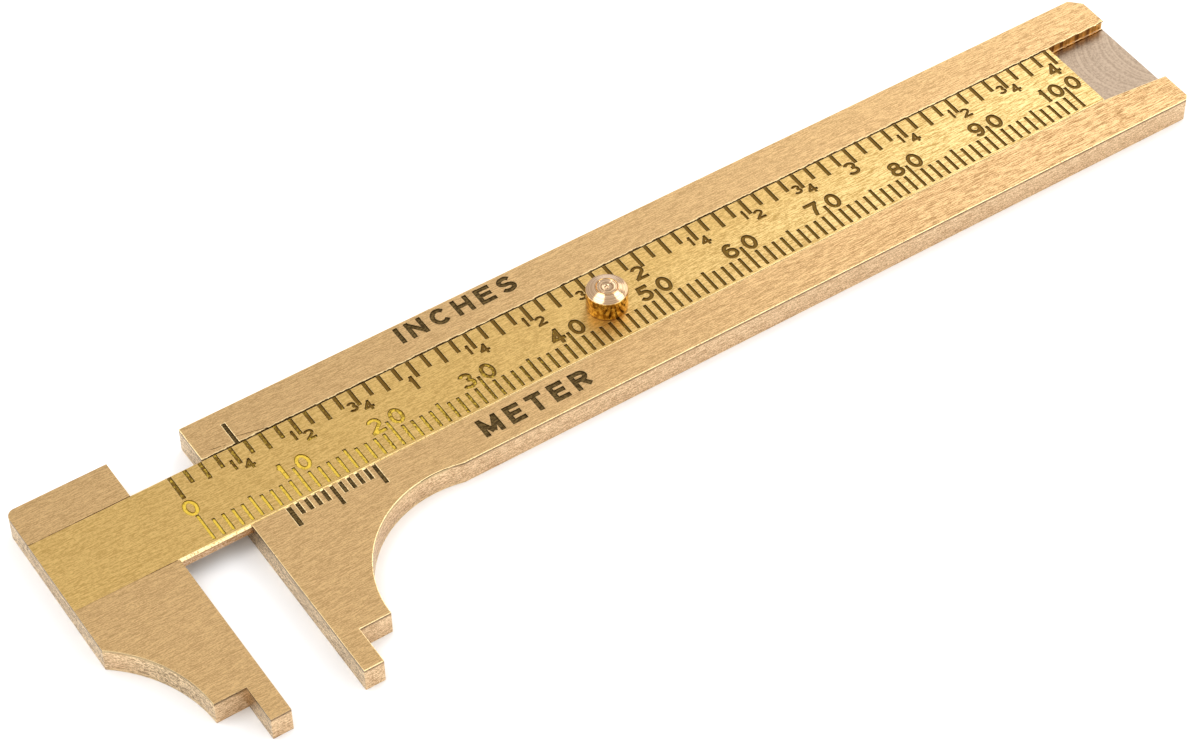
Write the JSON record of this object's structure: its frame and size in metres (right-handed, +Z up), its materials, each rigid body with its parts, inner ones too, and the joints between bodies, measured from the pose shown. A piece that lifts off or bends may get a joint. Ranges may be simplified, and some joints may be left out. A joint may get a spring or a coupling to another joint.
{
  "type": "vernier caliper",
  "caption": "Pocket slide caliper in brass: a frame with a fixed jaw and a channel, and a scale bar with a sliding jaw and a thumb knob that slides in it.",
  "frame": {"origin": "on the frame's underside, under the zero mark of the frame's vernier and on the slide's centreline", "axes": "+X along the slide, from the jaws to the frame's far end; +Y across it, away from the jaws' tips; +Z up, out of the face that carries the scales"},
  "size_m": [0.1239, 0.0335, 0.0054],
  "materials": {
    "frame_brass": "fine brushed, lengthwise grain",
    "bar_brass": "fine brushed, lengthwise grain, yellower than the frame",
    "solder": "dull, darker than the brass on both sides",
    "knob_brass": "turned and polished",
    "rivet_brass": "turned",
    "spring_bronze": "cold-rolled strip"
  },
  "bodies": {
    "frame": {"frame": "frame_brass", "stop_pin": "rivet_brass"},
    "slide": {"scale_bar": "bar_brass", "sliding_jaw": "frame_brass", "jaw_solder": "solder", "thumb_knob": "knob_brass", "knob_rivet": "rivet_brass", "friction_spring": "spring_bronze"}
  },
  "joints": [
    {"name": "slide_travel", "type": "slide", "parent": "frame", "child": "slide", "axis": [-1, 0, 0], "range_m": [-0.0073, 0.0927]}
  ]
}
